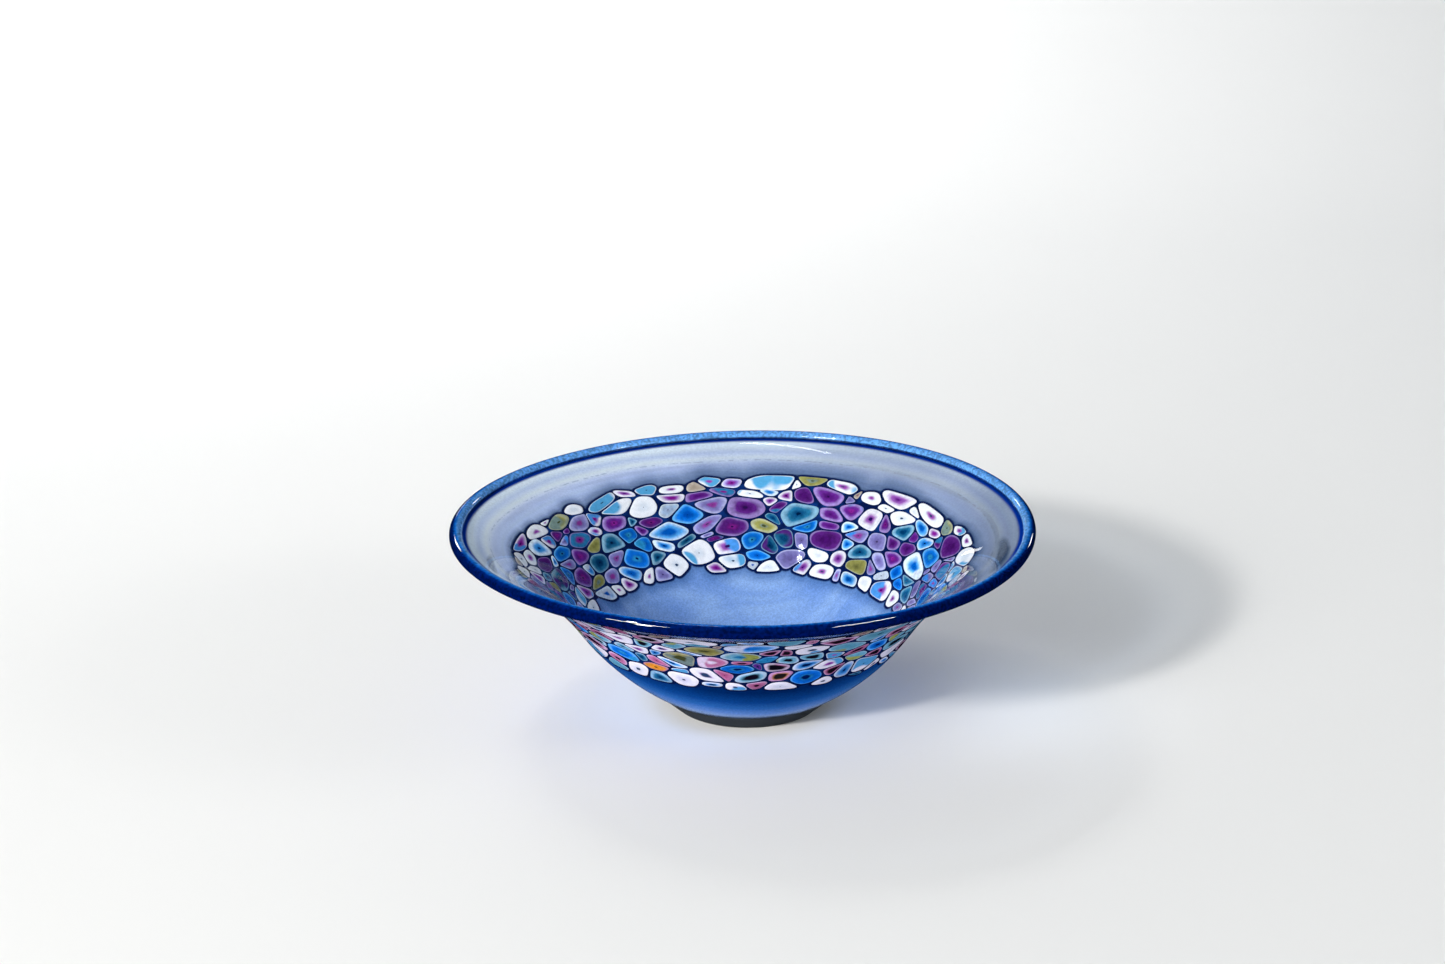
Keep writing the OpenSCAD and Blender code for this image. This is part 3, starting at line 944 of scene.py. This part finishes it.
def colour_layer(name, s_fine, s_coarse, axis):
    """A layer of fused colour, finely meshed where it borders the murrine. It also has the
    distance to the murrine, and the azimuth in degrees where it has no axis."""
    s = np.sort(np.concatenate([s_fine, s_coarse]))
    s = s[np.append(True, np.diff(s) > SAME_RING)]
    points, faces, attributes = wall_layer(s, LAYER_INSET, FINE_TURNS, axis)
    azimuths = np.arange(FINE_TURNS) * 2 * math.pi / FINE_TURNS
    both = np.concatenate([s, s[::-1]])
    fine = (both >= s_fine.min() - 1e-9) & (both <= s_fine.max() + 1e-9)
    near = np.full((len(both), FINE_TURNS), FAR)
    near[fine] = np.array(near_murrine(both[fine], azimuths)).reshape(-1, FINE_TURNS)
    if axis:
        attributes["near"] = np.concatenate([near[1:-1].ravel(), [FAR, FAR]])
    else:
        attributes["near"] = near.ravel()
        turn = np.degrees(np.arctan2(np.sin(azimuths), np.cos(azimuths)))
        attributes["turn"] = np.tile(turn, len(both))
    return make_piece(name, points, faces, attributes)


# Places along the wall of the lowest and the highest slice. The layers go in past them by EDGE,
# the ground overlaps that a little, and the rings are close together out to REACH.
BAND_LOW = min(m.s for m in every_slice)
BAND_HIGH = max(m.s for m in every_slice)
EDGE = 4 * MM
GROUND_EDGE = 0.8 * EDGE
REACH = FAR * MM
FINE_STEP = 0.5 * MM
FLARE_RINGS = 14
GROUND_RINGS = 30

flare = colour_layer("flare_layer",
                     np.arange(BAND_HIGH - EDGE, BAND_HIGH + REACH + 2 * MM, FINE_STEP),
                     np.linspace(BAND_HIGH + REACH, lip_contact(COLOUR_MIDDLE), FLARE_RINGS), axis=False)
finish_piece(flare, flare_look(), "flare_colour", "flare_colour")

floor_and_base = np.linspace(AXIS_S + 3 * MM, BAND_LOW - REACH, FLOOR_RINGS)
base = colour_layer("base_layer",
                    np.arange(BAND_LOW + EDGE, BAND_LOW - REACH - 2 * MM, -FINE_STEP),
                    np.concatenate([[AXIS_S], floor_and_base]), axis=True)
finish_piece(base, base_look(), "base_colour", "base_colour")

ground_s = np.linspace(BAND_LOW + GROUND_EDGE, BAND_HIGH - GROUND_EDGE, GROUND_RINGS)
ground_points, ground_faces, _ = wall_layer(ground_s, GROUND_INSET, TURNS, axis=False)
ground = make_piece("ground_layer", ground_points, ground_faces)
finish_piece(ground, ground_look(), "cobalt_ground", "cobalt_ground")

for colour in COLOURS:
    finish_piece(murrine_piece(colour), murrine_look(colour), "murrine_" + colour, "murrine_" + colour)

casing_glass()

BEAD_SIDES = 48
bead_angle = np.arange(BEAD_SIDES) * 2 * math.pi / BEAD_SIDES
bead_r = LIP[0] + BEAD_R * np.cos(bead_angle)
bead_z = LIP[1] + BEAD_R * np.sin(bead_angle)
bead_points, bead_faces = lathe(bead_r, bead_z, 2 * TURNS, closed=True)
bead = make_piece("lip_thread", bead_points, bead_faces,
                  {"inward": np.repeat(-np.cos(bead_angle), 2 * TURNS),
                   "upward": np.repeat(np.sin(bead_angle), 2 * TURNS)})
finish_piece(bead, lip_look(), "lip_wrap", "lip_wrap")

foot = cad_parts["foot_pad"]
foot.data.materials.clear()
foot.data.materials.append(foot_look())

# --- Stage, light and camera --------------------------------------------------------------

# The paper is flat from its front edge to its bend, and its middle is in line with the bowl
SWEEP_FRONT = -4.0
SWEEP_BEND = 0.9
SWEEP_R = 1.2
SWEEP_TOP = 2.4
SWEEP_HALF = 4.5
BEND_STEPS = 40


def stage_sweep():
    """Pale paper that lies flat under the bowl and curves up behind it."""
    curve = [(SWEEP_BEND + SWEEP_R * math.sin(a), SWEEP_R - SWEEP_R * math.cos(a))
             for a in np.linspace(0, math.pi / 2, BEND_STEPS)]
    profile = [(SWEEP_FRONT, 0.0), *curve, (curve[-1][0], SWEEP_TOP)]
    points = [(x, y, z) for y, z in profile for x in (-SWEEP_HALF, SWEEP_HALF)]
    faces = [(2 * i, 2 * i + 1, 2 * i + 3, 2 * i + 2) for i in range(len(profile) - 1)]
    mesh = bpy.data.meshes.new("sweep")
    mesh.from_pydata(points, [], faces)
    mesh.polygons.foreach_set("use_smooth", [True] * len(mesh.polygons))
    sweep = bpy.data.objects.new("sweep", mesh)
    bpy.context.scene.collection.objects.link(sweep)
    look = Look("sweep_paper")
    look.set(Base_Color=(0.86, 0.855, 0.845, 1), Roughness=0.9, Specular_IOR_Level=0.1)
    look.bump(look.noise(60, 4.0), 0.05, 0.3 * MM)
    sweep.data.materials.append(look.material)
    sweep.visible_glossy = False
    return sweep


def only(name, piece):
    """A collection of one piece, for a light that falls on nothing else."""
    collection = bpy.data.collections.new(name)
    collection.objects.link(piece)
    return collection


ONLY = {"lip": only("lip_only", bead), "stage": only("stage_only", stage_sweep())}


def softbox(name, place, aim, size, power, seen="all", colour=(1, 1, 1), spread=180):
    """A rectangular light for everything, or for a part of it. A matt one isn't reflected, a
    gloss one is only reflected, a lip one is only reflected in the lip wrap, and a stage one
    falls on the paper alone."""
    light = bpy.data.lights.new(name, "AREA")
    light.shape = "RECTANGLE"
    light.size, light.size_y = size
    light.energy = power
    light.color = colour
    light.spread = math.radians(spread)
    lamp = bpy.data.objects.new(name, light)
    lamp.location = place
    lamp.rotation_euler = (Vector(aim) - Vector(place)).to_track_quat("-Z", "Y").to_euler()
    lamp.visible_camera = False
    lamp.visible_transmission = False
    lamp.visible_diffuse = seen not in ("gloss", "lip")
    lamp.visible_glossy = seen != "matt"
    if seen in ONLY:
        lamp.light_linking.receiver_collection = ONLY[seen]
        lamp.light_linking.blocker_collection = ONLY[seen]
    bpy.context.scene.collection.objects.link(lamp)


def direction(azimuth, elevation, distance):
    """Place at a distance from the lip's middle. Its angles are in degrees, and its azimuth
    goes clockwise from the camera's side, as seen from above."""
    a, e = math.radians(azimuth), math.radians(elevation)
    return (-distance * math.sin(a) * math.cos(e), -distance * math.cos(a) * math.cos(e),
            LIP[1] + distance * math.sin(e))


BOWL = (0, 0, 0.05)
KEY = direction(37.5, 25.5, 2.9)
WARM = (1, 0.98, 0.94)
COOL = (0.66, 0.8, 1)
STRIP = (0.75, 0.07)
PANEL = (0.4, 0.25)

# The key's small lamp gives the shadow its edge, and its wide one makes that edge soft
softbox("key", KEY, BOWL, (0.24, 0.24), 62, colour=WARM)
softbox("key_wide", KEY, BOWL, (1.1, 1.1), 43, seen="matt", colour=WARM)
softbox("fill", (1.75, -0.5, 0.84), BOWL, (0.6, 0.3), 8, seen="matt")
softbox("backdrop_light", (-0.8, 1.6, 2.0), (-0.35, 1.3, 0), (1.4, 0.5), 9, seen="matt", spread=75)
# Light that comes through the blue glass onto the paper
softbox("glow", (0.09, -0.01, 0.12), (0.09, -0.01, 0), (0.12, 0.06), 0.011, seen="stage",
        colour=COOL, spread=70)
# Windows and lamps that the lip wrap and the wall reflect
softbox("strip_left", direction(43, 36, 2.0), BOWL, STRIP, 30, seen="lip")
softbox("strip_right", direction(-50, 36, 2.0), BOWL, STRIP, 30, seen="lip")
softbox("edge_left", direction(156, 19, 3.0), BOWL, PANEL, 4, seen="lip")
softbox("edge_right", direction(-146, 14, 3.0), BOWL, PANEL, 4, seen="lip")
softbox("top_strip", direction(167, 62, 1.5), BOWL, (0.25, 0.03), 1, seen="gloss")
softbox("spark", direction(50.6, 47.8, 2.0), BOWL, (0.09, 0.09), 30, seen="gloss")
softbox("glint", direction(165, 9, 3.0), BOWL, (0.25, 0.08), 0.4, seen="gloss")

world = bpy.data.worlds.new("studio")
world.use_nodes = True
sky = world.node_tree.nodes["Background"]
sky.inputs["Color"].default_value = (0.66, 0.82, 1.0, 1)
sky.inputs["Strength"].default_value = 0.2
world.cycles_visibility.glossy = False
bpy.context.scene.world = world

# The camera looks down by its pitch at a place a little left of the lip's middle and above it
LENS = 70.0
SENSOR = 36
PITCH = math.radians(18.99)
DISTANCE = 1.2439
AIM = Vector((-11.02 * MM, 0, LIP[1] + 20.0 * MM))
camera_data = bpy.data.cameras.new("camera")
camera_data.lens = LENS
camera_data.sensor_width = SENSOR
camera = bpy.data.objects.new("camera", camera_data)
camera.location = AIM - DISTANCE * Vector((0, math.cos(PITCH), -math.sin(PITCH)))
camera.rotation_euler = (math.pi / 2 - PITCH, 0, 0)
bpy.context.scene.collection.objects.link(camera)
bpy.context.scene.camera = camera
bpy.context.scene.view_settings.view_transform = "Standard"
